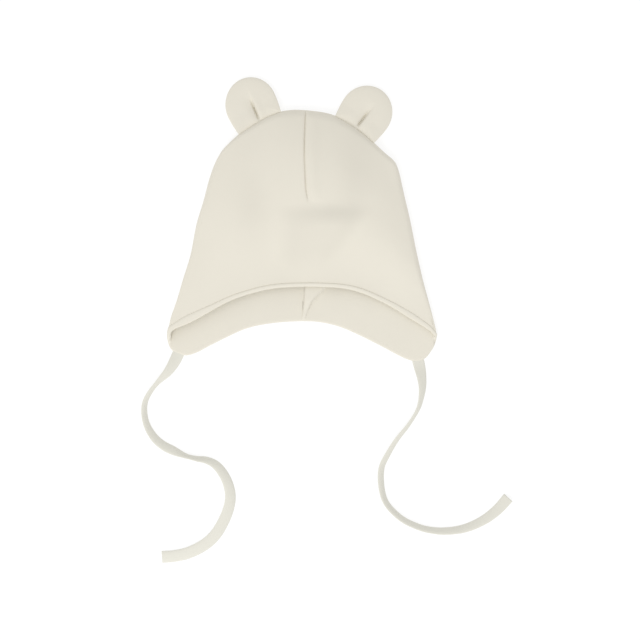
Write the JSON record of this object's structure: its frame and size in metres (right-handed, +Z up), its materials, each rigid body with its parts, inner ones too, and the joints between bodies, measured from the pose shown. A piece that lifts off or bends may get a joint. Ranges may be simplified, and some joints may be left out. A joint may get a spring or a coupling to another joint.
{
  "type": "baby hat with ears",
  "caption": "Soft jersey baby bonnet with round ears, a high front edge, ear flaps and thin ties, lying flat on its back.",
  "frame": {"origin": "on the surface that the hat lies on, under the middle of the hat without its ties", "axes": "+X to the right as the picture shows it, +Y towards the crown and ears, +Z up from the surface to the front of the hat"},
  "size_m": [0.2985, 0.3872, 0.0237],
  "materials": {
    "outer_jersey": "fine cream cotton jersey, matte",
    "lining_jersey": "the same jersey, smooth side in",
    "ear_jersey": "the same jersey, softly padded by its own seam",
    "tie_jersey": "folded and pressed jersey strip"
  },
  "bodies": {
    "root": {"outer_shell": "outer_jersey", "lining": "lining_jersey", "ear_left": "ear_jersey", "ear_right": "ear_jersey", "tie_left": "tie_jersey", "tie_right": "tie_jersey"}
  },
  "joints": []
}
